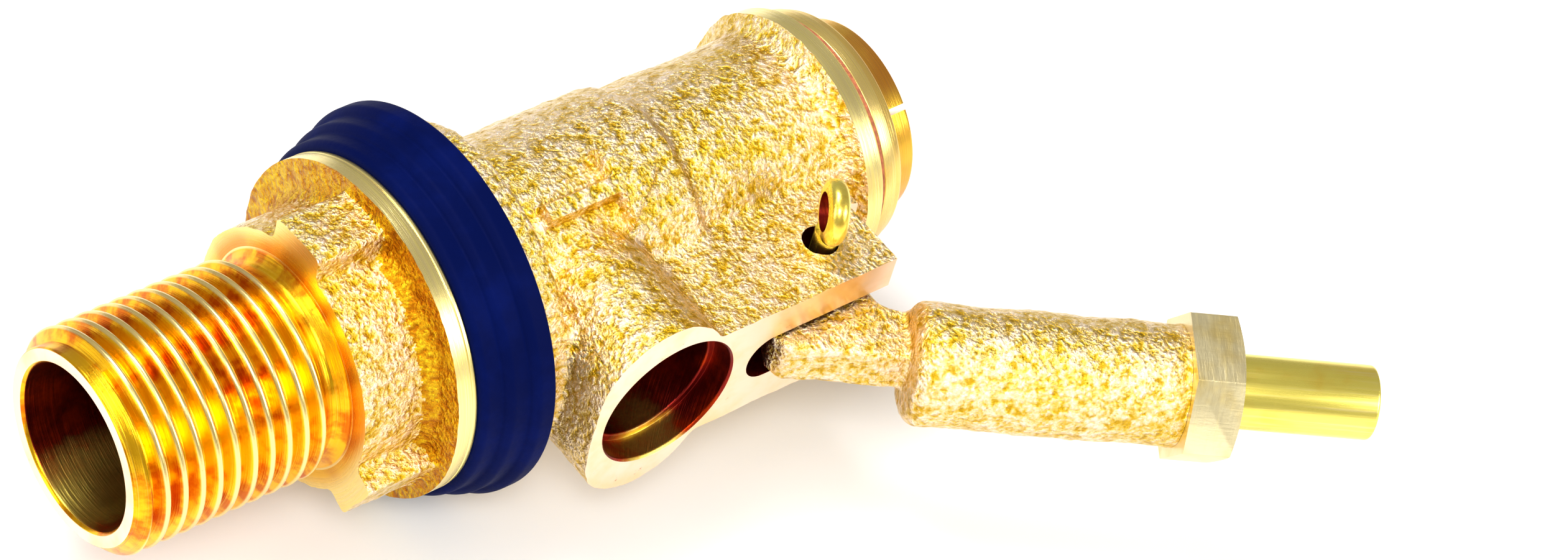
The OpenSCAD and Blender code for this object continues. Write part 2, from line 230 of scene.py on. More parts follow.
class Paint:
    """A material of procedural nodes on object coordinates."""

    def __init__(self, name):
        self.material = bpy.data.materials.new(name)
        self.material.use_nodes = True
        self.tree = self.material.node_tree
        self.shader = self.tree.nodes["Principled BSDF"]
        self.place = self.node("ShaderNodeTexCoord").wire("Object")

    def node(self, kind, settings=(), inputs=()):
        """Adds a node: its settings first, then the values or wires of its sockets."""
        node = self.tree.nodes.new(kind)
        for name, value in dict(settings).items():
            setattr(node, name, value)
        for name, value in dict(inputs).items():
            self.join(node.inputs[name], value)
        return Node(self, node)

    def join(self, socket, value):
        if isinstance(value, Wire):
            self.tree.links.new(value.socket, socket)
        elif socket.type == "RGBA" and len(value) == 3:
            socket.default_value = (*value, 1.0)
        else:
            socket.default_value = value

    def surface(self, **inputs):
        """Sets the shader's own sockets: Base_Color stands for Base Color."""
        for name, value in inputs.items():
            self.join(self.shader.inputs[name.replace("_", " ")], value)

    def stretched(self, scale, turn=(0.0, 0.0, 0.0)):
        """Object coordinates, turned and then stretched."""
        turned = self.node("ShaderNodeMapping", {"vector_type": "POINT"},
                           {"Vector": self.place, "Rotation": turn})
        return self.node("ShaderNodeVectorMath", {"operation": "MULTIPLY"},
                         {0: turned.wire(), 1: scale}).wire()

    def noise(self, scale, detail=3.0, rough=0.55, place=None):
        """Cloudy noise around 0.5, with scale in waves for each metre."""
        return self.node("ShaderNodeTexNoise", {}, {
            "Vector": place or self.place, "Scale": scale, "Detail": detail,
            "Roughness": rough}).wire()

    def shifted(self, scale, reach):
        """Object coordinates, pushed about by a cloudy noise, with reach in metres."""
        cloud = self.node("ShaderNodeTexNoise", {}, {
            "Vector": self.place, "Scale": scale, "Detail": 2.0}).wire("Color")
        push = self.node("ShaderNodeVectorMath", {"operation": "MULTIPLY_ADD"}, {
            0: cloud, 1: (reach, reach, reach), 2: self.place})
        return push.wire()

    def cells(self, scale, place):
        """0 in the middle of a grain, rising towards its edge."""
        return self.node("ShaderNodeTexVoronoi", {"feature": "F1"}, {
            "Vector": place, "Scale": scale}).wire("Distance")

    def mix(self, share, first, second):
        """Two colours mixed by a share of 0 to 1, through the colour sockets of a Mix node."""
        return self.node("ShaderNodeMix", {"data_type": "RGBA"},
                         {0: share, 6: first, 7: second}).wire(2)

    def radius(self):
        """Distance from the X axis, in millimetres."""
        flat = self.node("ShaderNodeVectorMath", {"operation": "MULTIPLY"},
                         {0: self.place, 1: (0.0, 1.0 / MM, 1.0 / MM)})
        return self.node("ShaderNodeVectorMath", {"operation": "LENGTH"},
                         {0: flat.wire()}).wire("Value")

    def rings(self, fineness, drift=60.0, detail=3.0):
        """Tool lines round the X axis, on turned faces and turned rims alike."""
        parts = self.node("ShaderNodeSeparateXYZ", {}, {0: self.place})
        feed = (parts.wire("X") * (1.0 / MM) + self.radius()) * fineness
        drawn = self.node("ShaderNodeCombineXYZ", {}, {
            "X": feed, "Y": parts.wire("Y") * drift, "Z": parts.wire("Z") * drift}).wire()
        return self.noise(1.0, detail, 0.6, drawn)

    def bump(self, height, distance, strength=1.0):
        node = self.node("ShaderNodeBump", {}, {
            "Height": height, "Distance": distance, "Strength": strength})
        self.surface(Normal=node.wire("Normal"))


MATERIALS = {}


def material(name):
    """The material with this name, made on its first use."""
    if name not in MATERIALS:
        MATERIALS[name] = RECIPES[name](Paint(name))
    return MATERIALS[name]


def cast_skin(paint, low, high, pit_and_crease_shade):
    """A sand-cast skin: crinkled grains with painted highlights on their tops, painted shade in their creases, and
    dark pits.
    """
    bent = paint.shifted(1500.0, 0.0007)
    cells = paint.cells(1900.0, bent)
    grains = paint.noise(3000.0, 4.0, 0.6)
    lumps = paint.noise(880.0, 3.0, 0.6)
    patches = paint.noise(120.0, 2.0)
    pits = paint.noise(430.0, 4.0, 0.7)
    height = lumps * 1.0 + grains * 0.6 - cells * 0.35
    # painted highlight: the high spots of the grain take the light colour
    painted_light_share = (height + patches * 0.35).between(0.56, 1.12)
    # painted shade: the creases of the grain take the dark colour
    crease_shade = (1.0 - height.between(0.32, 0.60)) * 0.5
    hollow = (1.0 - pits.between(0.24, 0.34)) * 0.9
    gold = paint.mix(crease_shade, paint.mix(painted_light_share, low, high), pit_and_crease_shade)
    paint.surface(
        Base_Color=paint.mix(hollow, gold, pit_and_crease_shade), Metallic=1.0,
        Roughness=0.20 + 0.12 * lumps + 0.2 * hollow)
    paint.bump(height, 0.00034, 1.0)
    return paint.material


def cast_brass(paint):
    """The golden skin of the castings."""
    look = finishes()
    return cast_skin(paint, look.cast, look.cast_painted_highlight, look.cast_dark_dirt_and_shade)


def flange_shade_brass(paint):
    """The same skin, painted darker brown as shade on the back of the flange."""
    look = finishes()
    return cast_skin(paint, look.shade_brown, look.cast, look.cast_dark_dirt_and_shade)


def turned_brass(paint):
    """Turned brass with painted dark reflection bands along the axis and a painted highlight on the thread crests.
    """
    look = finishes()
    lines = paint.rings(7.0)
    stain_and_reflection_band = paint.noise(1.0, 4.0, 0.6, paint.stretched((130.0, 330.0, 330.0)))
    specks = paint.noise(1900.0, 5.0, 0.75)
    crest = paint.radius().between(THREAD_R - 0.24, THREAD_R - 0.08)
    # painted reflection: dark bands along the axis, as the darker surroundings would reflect
    gold = paint.mix(stain_and_reflection_band.between(0.44, 0.66) * 0.8, look.turned, look.turned_deep)
    gold = paint.mix(lines.between(0.5, 0.85) * 0.3, gold, look.rod)
    # painted highlight: a pale line along the thread crests
    gold = paint.mix(crest * 0.8, gold, look.pale)
    dirt = (1.0 - specks.between(0.26, 0.34)) * 0.85
    paint.surface(
        Base_Color=paint.mix(dirt, gold, look.cast_dark_dirt_and_shade), Metallic=1.0,
        Roughness=0.16 + 0.16 * lines + 0.35 * dirt)
    paint.bump(lines + specks * 0.4, 0.00004, 0.6)
    return paint.material


def bright_brass(paint):
    """Freshly turned rims, and a warmer face inside them."""
    look = finishes()
    lines = paint.rings(9.0, 90.0)
    wide = paint.rings(0.9, 35.0, 2.0)
    stain_and_reflection_band = paint.noise(95.0, 3.0)
    gold = paint.mix(lines.between(0.35, 0.75) * 0.5, look.pale, look.rod)
    gold = paint.mix(stain_and_reflection_band.between(0.52, 0.75) * 0.45, gold, look.turned)
    inner = 1.0 - paint.radius().between(SHOULDER_R - 1.6, SHOULDER_R + 0.5)
    flame = paint.mix(stain_and_reflection_band.between(0.40, 0.62) * 0.6, look.turned, look.turned_deep)
    gold = paint.mix(inner * 0.85, gold, flame)
    paint.surface(Base_Color=gold, Metallic=1.0,
                  Roughness=0.15 + 0.16 * lines + 0.10 * wide)
    paint.bump(lines + wide, 0.00003, 0.7)
    return paint.material


def cut_brass(paint):
    """Flat faces cut with a cutter that leaves straight marks along X."""
    look = finishes()
    lines = paint.noise(1.0, 3.0, 0.6, paint.stretched((90.0, 2600.0, 2600.0)))
    stain_and_reflection_band = paint.noise(170.0, 4.0, 0.6)
    gold = paint.mix(stain_and_reflection_band.between(0.40, 0.72) * 0.4, look.faced, look.turned)
    dirt = (1.0 - paint.noise(800.0, 5.0, 0.7).between(0.22, 0.34)) * 0.7
    paint.surface(Base_Color=paint.mix(dirt, gold, look.cast_dark_dirt_and_shade), Metallic=1.0,
                  Roughness=0.27 + 0.14 * lines + 0.25 * dirt)
    paint.bump(lines, 0.00003, 0.6)
    return paint.material


def bore_shade_brass(paint):
    """Painted shade for bored walls and other recesses, with rust streaks and painted light along the bottom."""
    look = finishes()
    lines = paint.rings(4.0, 160.0)
    rust = paint.noise(260.0, 5.0, 0.65)
    height = paint.node("ShaderNodeSeparateXYZ", {}, {0: paint.place}).wire("Z") * (1.0 / MM)
    # painted light: the lower wall turns to bright brass under the painted shade
    painted_light_share = (1.0 - (height + rust * 3.0).between(-6.2, -4.2)) * 0.9
    # painted shade: dark brown, streaked with rust
    shade_brown = paint.mix(rust.between(0.40, 0.68) * 0.7, look.bore, look.turned_deep)
    paint.surface(Base_Color=paint.mix(painted_light_share, shade_brown, look.rod), Metallic=1.0,
                  Roughness=0.24 + 0.2 * rust)
    paint.bump(lines + 0.4 * rust, 0.00005, 0.8)
    return paint.material


def wire_brass(paint):
    look = finishes()
    drawn = paint.noise(1.0, 3.0, 0.6, paint.stretched((1500.0, 1500.0, 160.0)))
    stain_and_reflection_band = paint.noise(420.0, 3.0)
    gold = paint.mix(stain_and_reflection_band.between(0.42, 0.7) * 0.6, look.rod, look.turned)
    paint.surface(Base_Color=gold, Metallic=1.0, Roughness=0.16 + 0.22 * drawn)
    paint.bump(drawn, 0.00004, 0.6)
    return paint.material


def nut_brass(paint):
    look = finishes()
    turn = (0.0, 0.0, DROOP)
    hatch = paint.noise(1.0, 4.0, 0.7, paint.stretched((2600.0, 260.0, 260.0), turn))
    cross = paint.noise(1.0, 4.0, 0.7, paint.stretched((320.0, 1800.0, 1800.0), turn))
    tone = paint.noise(200.0, 3.0)
    scratch = hatch.between(0.5, 0.8) * 0.6 + cross.between(0.58, 0.8) * 0.5
    gold = paint.mix(tone.between(0.45, 0.7) * 0.5, look.nut, look.cast)
    paint.surface(Base_Color=paint.mix(scratch, gold, look.pale), Metallic=1.0,
                  Roughness=0.24 + 0.2 * hatch)
    paint.bump(hatch + 0.7 * cross, 0.00005, 0.7)
    return paint.material


def rod_brass(paint):
    look = finishes()
    drawn = paint.noise(1.0, 4.0, 0.65, paint.stretched((60.0, 1900.0, 1900.0), (0.0, 0.0, DROOP)))
    stain_and_reflection_band = paint.noise(150.0, 3.0)
    gold = paint.mix(stain_and_reflection_band.between(0.45, 0.7) * 0.6, look.rod, look.turned)
    gold = paint.mix(drawn.between(0.5, 0.75) * 0.6, gold, look.pale)
    paint.surface(Base_Color=gold, Metallic=1.0, Roughness=0.2 + 0.16 * drawn)
    paint.bump(drawn, 0.00003, 0.6)
    return paint.material


def rubber(paint):
    look = finishes()
    bloom = paint.noise(150.0, 4.0, 0.6)
    skin = paint.noise(2200.0, 3.0, 0.6)
    lifted = tuple(channel * 1.5 for channel in look.rubber)
    paint.surface(Base_Color=paint.mix(bloom.between(0.42, 0.72), look.rubber, lifted),
                  Roughness=0.42 + 0.14 * bloom + 0.08 * skin, Specular_IOR_Level=0.02)
    paint.bump(skin + 0.6 * bloom, 0.00004, 0.5)
    return paint.material


def fibre(paint):
    look = finishes()
    threads = paint.noise(1700.0, 5.0, 0.7)
    lifted = tuple(min(1.0, channel * 1.9) for channel in look.fibre)
    paint.surface(Base_Color=paint.mix(threads.between(0.35, 0.7), look.fibre, lifted),
                  Roughness=0.72 + 0.15 * threads)
    paint.bump(threads, 0.00006, 0.7)
    return paint.material


def studio_floor(paint):
    look = finishes()
    cloud = paint.noise(3.0, 2.0)
    shade = tuple(channel * 0.985 for channel in look.floor)
    paint.surface(Base_Color=paint.mix(cloud, look.floor, shade), Roughness=0.6 + 0.1 * cloud)
    return paint.material


RECIPES = {
    "cast_brass": cast_brass, "flange_shade_brass": flange_shade_brass, "turned_brass": turned_brass,
    "bright_brass": bright_brass, "cut_brass": cut_brass, "bore_shade_brass": bore_shade_brass,
    "wire_brass": wire_brass, "nut_brass": nut_brass, "rod_brass": rod_brass, "rubber": rubber,
    "fibre": fibre, "studio_floor": studio_floor,
}


# ---------------------------------------------------------------- modelling, in millimetres

LATHE_STEPS = 160               # steps in a full turn of a turned piece


def rounded(outline, radius, steps=4):
    """An outline of (x, radius) points with rounded corners. A third number is a corner's own."""
    points = []
    for index, corner in enumerate(outline):
        here = Vector(corner[:2])
        ease = corner[2] if len(corner) > 2 else radius
        if here.y == 0.0 or ease == 0.0:
            points.append(here)
            continue
        before = Vector(outline[index - 1][:2]) - here
        after = Vector(outline[(index + 1) % len(outline)][:2]) - here
        reach = min(ease, 0.45 * before.length, 0.45 * after.length)
        start = here + before.normalized() * reach
        end = here + after.normalized() * reach
        for step in range(steps + 1):
            t = step / steps
            points.append(start * (1 - t) ** 2 + here * 2 * t * (1 - t) + end * t * t)
    return points


def lathe(bm, outline, place=None, steps=LATHE_STEPS):
    """Spins an outline of (x, radius) points about the X axis. Both ends may lie on the axis."""
    verts = [bm.verts.new((point[0], 0.0, point[1])) for point in outline]
    on_axis = outline[0][1] == 0.0
    ends = verts[1:] if on_axis else verts[1:] + verts[:1]
    edges = [bm.edges.new(pair) for pair in zip(verts, ends)]
    known = set(bm.verts) - set(verts)
    bmesh.ops.spin(bm, geom=verts + edges, cent=(0, 0, 0), axis=(1, 0, 0), angle=math.tau,
                   steps=steps, use_merge=True)
    fresh = [vert for vert in bm.verts if vert not in known]
    bmesh.ops.remove_doubles(bm, verts=fresh, dist=1e-4)
    fresh = [vert for vert in bm.verts if vert not in known]
    if place:
        bmesh.ops.transform(bm, matrix=place, verts=fresh)
    bmesh.ops.recalc_face_normals(bm, faces=bm.faces)


def bar(bm, start, end, r_start, r_end=None, segments=96):
    """A round bar or a cone between two points."""
    start, end = Vector(start), Vector(end)
    way = end - start
    place = Matrix.Translation((start + end) / 2) @ way.to_track_quat("Z", "Y").to_matrix().to_4x4()
    bmesh.ops.create_cone(
        bm, cap_ends=True, segments=segments, radius1=r_start, radius2=r_end or r_start,
        depth=way.length, matrix=place)


def block(bm, corner, far_corner, place=None):
    """A box between two corners."""
    corner, far_corner = Vector(corner), Vector(far_corner)
    size = far_corner - corner
    matrix = Matrix.Translation((corner + far_corner) / 2) @ Matrix.Diagonal((*size, 1.0))
    bmesh.ops.create_cube(bm, size=1.0, matrix=(place or Matrix()) @ matrix)


def slab(bm, outline, bottom, top):
    """A flat outline of (x, y) points, extruded along Z."""
    face = bm.faces.new([bm.verts.new((point[0], point[1], bottom)) for point in outline])
    risen = bmesh.ops.extrude_face_region(bm, geom=[face])["geom"]
    moved = [item for item in risen if isinstance(item, bmesh.types.BMVert)]
    bmesh.ops.translate(bm, verts=moved, vec=(0, 0, top - bottom))
    bmesh.ops.recalc_face_normals(bm, faces=bm.faces)


def make(name, bm, *finish_names):
    """Turns a bmesh in millimetres into an object that stays in millimetres for now."""
    mesh = bpy.data.meshes.new(name)
    bm.to_mesh(mesh)
    bm.free()
    for finish_name in finish_names:
        mesh.materials.append(material(finish_name))
    piece = bpy.data.objects.new(name, mesh)
    bpy.context.scene.collection.objects.link(piece)
    return piece


def shape(name, finish_name, build):
    """An object from a function that fills a bmesh."""
    bm = bmesh.new()
    build(bm)
    return make(name, bm, finish_name)


def settle(piece):
    """Makes a piece's modifiers part of its mesh."""
    depsgraph = bpy.context.evaluated_depsgraph_get()
    mesh = bpy.data.meshes.new_from_object(piece.evaluated_get(depsgraph))
    piece.modifiers.clear()
    old, piece.data = piece.data, mesh
    bpy.data.meshes.remove(old)


def cut(piece, tool, operation="DIFFERENCE"):
    """Cuts a piece with a tool, or trims it to one. The cut faces take the tool's material."""
    modifier = piece.modifiers.new("cut", "BOOLEAN")
    modifier.object = tool
    modifier.operation = operation
    modifier.solver = "EXACT"
    modifier.material_mode = "TRANSFER"
    settle(piece)
    mesh = tool.data
    bpy.data.objects.remove(tool)
    bpy.data.meshes.remove(mesh)


def casting(name, build, passes, cell_scale=1.0, mark=None):
    """A sand casting: the built shapes run together, with soft edges and a grainy skin."""
    size = sizes()
    piece = shape(name, "cast_brass", build)
    modifier = piece.modifiers.new("cells", "REMESH")
    modifier.mode = "VOXEL"
    modifier.voxel_size = size.voxel / MM * cell_scale * 1.0
    settle(piece)
    piece.data.materials.clear()
    piece.data.materials.append(material("cast_brass"))
    bm = bmesh.new()
    bm.from_mesh(piece.data)
    for _ in range(passes):
        bmesh.ops.smooth_vert(bm, verts=bm.verts, factor=0.5,
                              use_axis_x=True, use_axis_y=True, use_axis_z=True)
    bm.normal_update()
    wave, grain = size.wave / MM, size.grain / MM
    moves = []
    for vert in bm.verts:
        rise = wave * noise.noise(vert.co * 0.22) + grain * noise.fractal(vert.co * 0.85, 0.8, 2.2, 3)
        if mark:
            rise += mark(vert.co)
        moves.append(vert.normal * rise)
    for vert, move in zip(bm.verts, moves):
        vert.co += move
    bm.to_mesh(piece.data)
    bm.free()
    return piece


def finish(piece, body, slot, *nodes, angle=35.0):
    """Brings a piece to metres, shades it, ties it to its body and hides its CAD nodes. The slot is not used."""
    piece.data.transform(Matrix.Diagonal((MM, MM, MM, 1.0)))
    piece.data.polygons.foreach_set("use_smooth", [True] * len(piece.data.polygons))
    piece.data.set_sharp_from_angle(angle=math.radians(angle))
    piece.data.update()
    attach(piece, body)
    if nodes:
        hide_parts(*nodes)
    return piece


# ---------------------------------------------------------------- inlet tail

SHOULDER_R = 12.3
SHOULDER_BORE_R = 10.5          # where the casting meets the turned neck
SPIGOT_R = 10.8
LUG_R = 14.5
LUG_W = 6.2
LUG_ANGLES = (5.0, 125.0, 245.0)    # from +Z towards +Y
FLANGE_T = 2.1
SEAT_POCKET_R = 8.8


def thread_outline(size, points=10):
    """One pitch of the thread: a narrow crest and a rounded root, as (x, radius)."""
    pitch, depth = size.pitch / MM, size.depth / MM
    root = THREAD_R - depth
    crest = 0.13
    outline = []
    for index in range(points + 1):
        way = 2.0 * index / points - 1.0
        far = max(0.0, (abs(way) * pitch / 2 - crest) / (pitch / 2 - crest))
        fall = 0.5 - 0.5 * math.cos(math.pi * min(1.0, far))
        outline.append((way * (pitch / 2 - 0.03), THREAD_R - depth * (0.55 * far + 0.45 * fall)))
    under = root - 0.35
    outline[0] = (outline[0][0], root - 0.04)
    outline[-1] = (outline[-1][0], root - 0.04)
    return outline + [(pitch / 2 - 0.2, under), (0.2 - pitch / 2, under)]


def build_thread(bm):
    """The right-handed inlet thread, with a lead-in at the mouth and a run-out at the neck."""
    size = sizes()
    pitch, depth = size.pitch / MM, size.depth / MM
    root = THREAD_R - depth
    start = INLET_X + pitch * 0.35
    turns = (THREAD_STOP_X + pitch * 0.75 - start) / pitch
    per_turn = 144
    steps = round(turns * per_turn)
    verts = [bm.verts.new((start + x, 0.0, r)) for x, r in thread_outline(size)]
    face = bm.faces.new(verts)
    bmesh.ops.spin(bm, geom=[face], cent=(0, 0, 0), axis=(1, 0, 0),
                   dvec=(pitch / per_turn, 0, 0), angle=math.tau * steps / per_turn, steps=steps)
    mouth_end = INLET_X + 0.15
    for vert in bm.verts:
        radius = math.hypot(vert.co.y, vert.co.z)
        reach = min(radius, root + 0.9 * max(0.0, vert.co.x - mouth_end))
        run_out = min(1.0, max(0.0, (THREAD_STOP_X + pitch * 0.95 - vert.co.x) / (pitch * 0.8)))
        if reach > root:
            reach = root + (reach - root) * run_out ** 0.6
        if vert.co.x < mouth_end:
            vert.co.x = mouth_end
        vert.co.yz = vert.co.yz * (min(radius, reach) / radius)
    bmesh.ops.recalc_face_normals(bm, faces=bm.faces)


def build_tail_core(bm):
    """The turned core: mouth, root of the thread, neck, spigot and bore."""
    root = THREAD_R - sizes().depth / MM
    pocket_x = low("seat_joint", X)
    outline = [
        (INLET_X, BORE_R + 0.25, 0.1), (INLET_X, root - 0.12, 0.2), (INLET_X + 0.2, root, 0.1),
        (THREAD_STOP_X + 1.1, root, 0.2), (THREAD_STOP_X + 1.5, root - 0.2, 0.3), (-0.9, root - 0.2, 0.9),
        (0.0, root + 0.9, 0.9), (0.0, SHOULDER_BORE_R + 0.02, 0.02),
        (RING_X, SHOULDER_BORE_R + 0.02, 0.02), (RING_X, SPIGOT_R, 0.02), (SPIGOT_X, SPIGOT_R, 0.3),
        (SPIGOT_X, SEAT_POCKET_R, 0.15), (pocket_x, SEAT_POCKET_R, 0.1), (pocket_x, BORE_R, 0.1),
        (INLET_X + 0.3, BORE_R, 0.2),
    ]
    lathe(bm, rounded(outline, 0.1))


def build_shoulder(bm):
    """The cast shoulder with its lugs, and the blank of the flange, with stock to cut."""
    spare = 1.2
    bar(bm, (-spare, 0, 0), (RING_X, 0, 0), SHOULDER_R)
    bar(bm, (RING_X - FLANGE_T, 0, 0), (RING_X + spare, 0, 0), FLANGE_R + spare)
    bar(bm, (RING_X - FLANGE_T - 1.1, 0, 0), (RING_X - FLANGE_T + 0.1, 0, 0), SHOULDER_R + 0.1,
        SHOULDER_R + 1.3)
    for angle in LUG_ANGLES:
        turn = Matrix.Rotation(math.radians(-angle), 4, "X")
        block(bm, (-spare, -LUG_W / 2, 0), (RING_X, LUG_W / 2, LUG_R), turn)


def shoulder_stock(bm):
    """What the lathe leaves: the turned face, the rim with its fine groove, and the back."""
    edge = 0.25
    wide = FLANGE_R + 4
    rim_x = RING_X - FLANGE_T - 0.6
    outline = [
        (0.0, SHOULDER_BORE_R), (0.0, wide, 0.0), (rim_x, wide, 0.0), (rim_x, FLANGE_R, 0.05),
        (RING_X - 0.62, FLANGE_R, 0.02), (RING_X - 0.54, FLANGE_R - 0.09, 0.02),
        (RING_X - 0.46, FLANGE_R, 0.02), (RING_X, FLANGE_R, edge), (RING_X, SHOULDER_BORE_R),
    ]
    lathe(bm, rounded(outline, 0.03))


def make_inlet_tail():
    core = shape("tail_core", "turned_brass", build_tail_core)
    core.data.materials.append(material("bore_shade_brass"))
    core.data.materials.append(material("cut_brass"))
    # painted shade: faces inside the bore take the dark bore finish
    for face in core.data.polygons:
        radius = math.hypot(face.center.y, face.center.z)
        face.material_index = 1 if radius < BORE_R + 0.02 else 0
        if face.normal.x < -0.9 and face.center.x < INLET_X + 0.1:
            face.material_index = 2
    finish(core, "root", "turned_brass", "inlet_tail")
    thread = shape("inlet_thread", "turned_brass", build_thread)
    finish(thread, "root", "turned_brass", angle=50.0)
    shoulder = casting("shoulder", build_shoulder, 9, 0.9)
    cut(shoulder, shape("stock", "bright_brass", shoulder_stock), "INTERSECT")
    shoulder.data.materials.append(material("flange_shade_brass"))
    for face in shoulder.data.polygons:
        radius = math.hypot(face.center.y, face.center.z)
        # painted shade: skin faces behind the flange that face back, away from the lights, take the darker brown
        # skin
        behind = face.normal.x < -0.45 and radius > SHOULDER_R - 0.2
        if face.material_index == 0 and face.center.x > RING_X - FLANGE_T - 1.6 and behind:
            face.material_index = 2
    finish(shoulder, "root", "turned_brass")


def make_sealing_ring():
    """The moulded ring, with three soft bands that step outwards."""
    size = sizes()
    ease = size.ring_edge / MM
    inner = low("sealing_ring", Z) * -1
    width = BODY_X - RING_X
    bore = SPIGOT_R + 0.1
    steps = ((0.0, inner - 1.6), (0.33, inner - 0.8), (0.66, inner))
    outline = [(RING_X, bore, 0.2)]
    for share, radius in steps:
        outline.append((RING_X + share * width, radius - 0.45, ease * 0.8))
        outline.append((RING_X + (share + 0.07) * width, radius, ease))
        outline.append((RING_X + (share + 0.30) * width, radius, ease))
    outline += [(BODY_X, inner - 0.5, 0.4), (BODY_X, bore, 0.2)]
    ring = shape("sealing_ring_moulding", "rubber", lambda bm: lathe(bm, rounded(outline, 0.3, 6)))
    finish(ring, "root", "rubber", "sealing_ring", angle=60.0)


# ---------------------------------------------------------------- body

FRONT_R = 12.0
REAR_R = 11.2
RIM_R = 12.9
RIM_T = 2.0
COLLAR_T = 3.6
FRONT_LEN = 18.9
BOSS_R = 6.75
BOSS_SPREAD = 6.9
BOSS_OFFSET = 1.7
EAR_T = 12.6
EAR_REACH = 5.2
SLOT_W = 5.2
SLOT_REACH = 10.9
PIN_HOLE_R = 1.75
CHAMBER_R = 9.0
PASSAGE_R = 6.4
CAP_THREAD_R = 9.8


ARROW_ANGLE = 68.0              # from -Y towards +Z
ARROW_START = 3.0
ARROW_HEAD = 8.0
ARROW_LEN = 13.0
ARROW_HALF_W = 0.9
ARROW_EASE = 0.5


def arrow_mark(place):
    """Height of the raised flow arrow over a place on the barrel's side."""
    tall = sizes().mark / MM
    if place.x < BODY_X or place.z < 3.0 or math.hypot(place.y, place.z) > FRONT_R + 1.5:
        return 0.0
    across = (math.atan2(place.z, -place.y) - math.radians(ARROW_ANGLE)) * FRONT_R
    along = place.x - (BODY_X + COLLAR_T + ARROW_START)
    middle = (ARROW_HEAD + 1.0) / 2
    shaft = max(abs(across) - ARROW_HALF_W, abs(along - middle) - middle)
    head = max(abs(across) - (ARROW_LEN - along) * 0.8, ARROW_HEAD - along)
    inside = -min(shaft, head)
    ease = min(1.0, max(0.0, inside / ARROW_EASE + 0.5))
    return tall * ease * ease * (3 - 2 * ease)


def build_body(bm):
    spare = 1.2
    front_x = BODY_X + COLLAR_T
    rear_x = front_x + FRONT_LEN
    boss_x = OUTLET.x - BOSS_OFFSET
    face_y = OUTLET.y - spare
    bar(bm, (BODY_X - spare, 0, 0), (front_x, 0, 0), COLLAR_R)
    bar(bm, (front_x - 1, 0, 0), (rear_x, 0, 0), FRONT_R)
    bar(bm, (rear_x - 1, 0, 0), (BODY_END_X + spare, 0, 0), REAR_R)
    bar(bm, (BODY_END_X - RIM_T - 1.5, 0, 0), (BODY_END_X - RIM_T, 0, 0), REAR_R, RIM_R)
    bar(bm, (BODY_END_X - RIM_T, 0, 0), (BODY_END_X + spare, 0, 0), RIM_R + 0.5)
    for side in (-1, 1):
        boss_z = side * BOSS_SPREAD / 2
        bar(bm, (boss_x, 0, boss_z), (boss_x, face_y, boss_z), BOSS_R)
    block(bm, (boss_x - BOSS_R, face_y, -BOSS_SPREAD / 2), (boss_x + BOSS_R, 0, BOSS_SPREAD / 2))
    block(bm, (boss_x, face_y, -EAR_T / 2), (PIN.x + EAR_REACH + spare, 0, EAR_T / 2))


def build_body_stock(bm):
    """The faces that a cutter leaves flat."""
    wide = 40
    block(bm, (BODY_X, OUTLET.y, -wide), (BODY_END_X, wide, wide))


